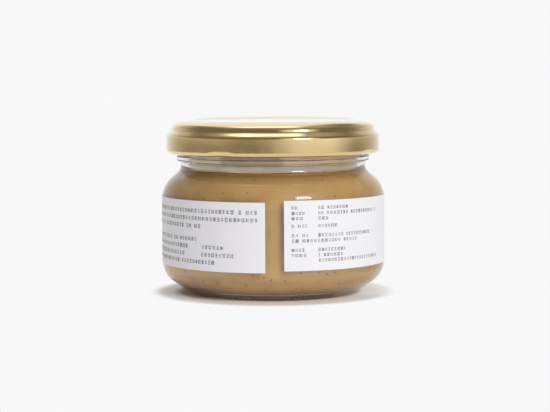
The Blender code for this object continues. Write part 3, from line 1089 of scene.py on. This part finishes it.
def build_world():
    """A white studio: a wall behind, a strip overhead, a lamp to the right, a dim room in front."""
    world = bpy.data.worlds.new("studio")
    bpy.context.scene.world = world
    world.use_nodes = True
    tree = world.node_tree
    direction = tree.nodes.new("ShaderNodeTexCoord").outputs["Generated"]
    x, y, z = split_place(tree, direction)
    front = calc(tree, "MULTIPLY", y, -1.0)
    around = calc(tree, "DEGREES", calc(tree, "ARCTAN2", x, front))
    height = calc(tree, "DEGREES", calc(tree, "ARCSINE", z))
    over = calc(tree, "DEGREES", calc(tree, "ARCTAN2", z, front))
    side = calc(tree, "ABSOLUTE", around)

    def blend(value, target, share):
        """value moved towards target by share."""
        kept = calc(tree, "MULTIPLY", value, calc(tree, "SUBTRACT", 1.0, share))
        return calc(tree, "ADD", kept, calc(tree, "MULTIPLY", target, share))

    def up_and_down(value, start, full, fading, end):
        """The two shares whose product is a patch between start and end."""
        return smooth_step(tree, value, start, full), down(value, fading, end)

    def down(value, full, end):
        """1 until full, and 0 from end on."""
        return smooth_step(tree, value, full, end, 1.0, 0.0)

    def patch(light, *shares):
        """The product of some shares, times a brightness."""
        value = light
        for share in shares:
            value = calc(tree, "MULTIPLY", share, value)
        return value

    room = smooth_step(tree, height, *ROOM_HEIGHTS, *ROOM_LIGHT)
    dim = patch(DIM_LIGHT, *up_and_down(around, *DIM_AROUND), down(height, *DIM_HEIGHTS))
    room = calc(tree, "SUBTRACT", room, dim)
    belt_light = smooth_step(tree, side, *BELT_SIDES, *BELT_LIGHT)
    belt = patch(belt_light, *up_and_down(height, *BELT_HEIGHTS))
    glow = patch(GLOW_LIGHT, *up_and_down(around, *GLOW_AROUND), down(height, *GLOW_HEIGHTS))
    ceiling = smooth_step(tree, height, *CEILING_HEIGHTS, 0.0, CEILING_LIGHT)
    for part in (belt, glow, ceiling):
        room = calc(tree, "ADD", room, part)
    # The wall's upper edge is a little lower beside the middle, and higher out to the sides
    across = calc(tree, "ABSOLUTE", x)
    lower = smooth_step(tree, across, *WALL_DIP_ACROSS, 0.0, WALL_DIP)
    raised = smooth_step(tree, side, *WALL_RISE_SIDES, WALL_RISE, 0.0)
    edge_height = calc(tree, "SUBTRACT", calc(tree, "ADD", height, lower), raised)
    rise = smooth_step(tree, side, *WALL_SIDES)
    room = blend(room, WALL_LIGHT, patch(1.0, rise, down(edge_height, *WALL_HEIGHTS)))
    # The strip runs from overhead to straight behind
    shift = smooth_step(tree, over, *STRIP_SHIFT_OVER, *STRIP_SHIFT)
    off_strip = calc(tree, "ABSOLUTE", calc(tree, "ADD", x, shift))
    begun = smooth_step(tree, over, *STRIP_START)
    strip = patch(1.0, begun, down(off_strip, *STRIP_ACROSS))
    overhead = smooth_step(tree, over, *STRIP_LIGHT_OVER, *STRIP_LIGHT)
    behind = smooth_step(tree, over, STRIP_LIGHT_OVER[1], 180.0, 0.0, STRIP_LOSS)
    room = blend(room, calc(tree, "SUBTRACT", overhead, behind), strip)
    for light, places, heights in (LAMP, HALO):
        spot = patch(light, *up_and_down(around, *places), *up_and_down(height, *heights))
        room = calc(tree, "ADD", room, spot)
    seen = tree.nodes.new("ShaderNodeLightPath").outputs["Is Camera Ray"]
    room = blend(room, BACKDROP, seen)
    tint = mix_colour(tree, smooth_step(tree, room, *WARM_UNTIL), WARM, WHITE)
    feed(tree, tree.nodes["Background"], {"Color": tint, "Strength": room})
    world.cycles.sampling_method = "MANUAL"
    world.cycles.sample_map_resolution = 1024


def build_key_light():
    """A large soft light high to the right, which nothing mirrors."""
    lamp = bpy.data.lights.new("key_light", "AREA")
    lamp.shape = "DISK"
    lamp.size = KEY_SIZE
    lamp.energy = KEY_POWER
    key = bpy.data.objects.new("key_light", lamp)
    bpy.context.scene.collection.objects.link(key)
    around = math.radians(KEY_AROUND)
    up = math.radians(KEY_ELEVATION)
    level = math.cos(up)
    away = Vector((math.sin(around) * level, -math.cos(around) * level, math.sin(up)))
    key.location = KEY_DISTANCE * away
    key.rotation_euler = away.to_track_quat("Z", "Y").to_euler()
    key.visible_glossy = False
    key.visible_transmission = False
    key.visible_camera = False


def floor_material():
    """A matt pale floor that glows like the backdrop, except in the shade round the jar."""
    material, tree, shader = new_material("studio_floor")
    feed(tree, shader, {"Base Color": FLOOR_COLOUR, "Roughness": 0.8, "Specular IOR Level": 0.1})
    glow = tree.nodes.new("ShaderNodeEmission")
    glow.inputs["Strength"].default_value = BACKDROP
    place = object_place(tree)
    x, y, _ = split_place(tree, place)
    length = tree.nodes.new("ShaderNodeVectorMath")
    length.operation = "LENGTH"
    tree.links.new(place, length.inputs[0])
    away = length.outputs["Value"]
    right = smooth_step(tree, x, *SHADE_RIGHT)
    back = smooth_step(tree, y, *SHADE_BACK, 0.0, SHADE_WEAKER)
    beside = calc(tree, "ADD", calc(tree, "MULTIPLY", right, back), SHADE_SHARE)
    wider = smooth_step(tree, x, *CONTACT_LEFT, CONTACT_WIDER, 0.0)
    reach = calc(tree, "SUBTRACT", away, wider)
    contact = smooth_step(tree, reach, *CONTACT_EDGE, CONTACT_SHARE, 1.0)
    near = calc(tree, "MULTIPLY", beside, contact)
    edge = smooth_step(tree, away, *SHADE_EDGE)
    far = calc(tree, "MULTIPLY", edge, calc(tree, "SUBTRACT", 1.0, near))
    blend = tree.nodes.new("ShaderNodeMixShader")
    share = calc(tree, "ADD", near, far)
    feed(tree, blend, {"Fac": share, 1: shader.outputs["BSDF"], 2: glow.outputs["Emission"]})
    feed(tree, tree.nodes["Material Output"], {"Surface": blend.outputs["Shader"]})
    return material


def build_floor(material):
    """A round floor that blends into the backdrop far from the jar."""
    verts = [(0.0, 0.0, -FLOOR_DROP)]
    faces = []
    for number in range(FLOOR_SIDES):
        angle = TURN * number / FLOOR_SIDES
        verts.append((FLOOR_RADIUS * math.cos(angle), FLOOR_RADIUS * math.sin(angle), -FLOOR_DROP))
        faces.append((0, 1 + number, 1 + (number + 1) % FLOOR_SIDES))
    floor = add_piece("floor", verts, faces, [material])


def set_view():
    """Plain colours, and enough bounces for a filled glass."""
    scene = bpy.context.scene
    scene.view_settings.view_transform = "Standard"
    scene.cycles.max_bounces = 24
    scene.cycles.transmission_bounces = 24
    scene.cycles.glossy_bounces = 8
    scene.cycles.diffuse_bounces = 4
    scene.cycles.caustics_reflective = False
    scene.cycles.caustics_refractive = False
    scene.cycles.use_denoising = True


def place_piece(piece, slot, *nodes):
    """Hang a piece on the jar's one body, and hide the solids that it stands for; the slot is not
    used.
    """
    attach(piece, "root")
    if nodes:
        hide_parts(*nodes)


build_camera()
build_world()
build_key_light()
build_floor(floor_material())
set_view()
place_piece(build_glass(glass_material()), "jar_glass", "glass_jar")
place_piece(build_spread(spread_material()), "nut_spread", "peanut_butter")
place_piece(build_film(film_material()), "nut_spread")
place_piece(build_lid(lid_material(), liner_material()), "gold_lid", "lid")
place_piece(build_label(paper_material()), "label_paper", "label")
place_piece(build_print(ink_material()), "label_paper")
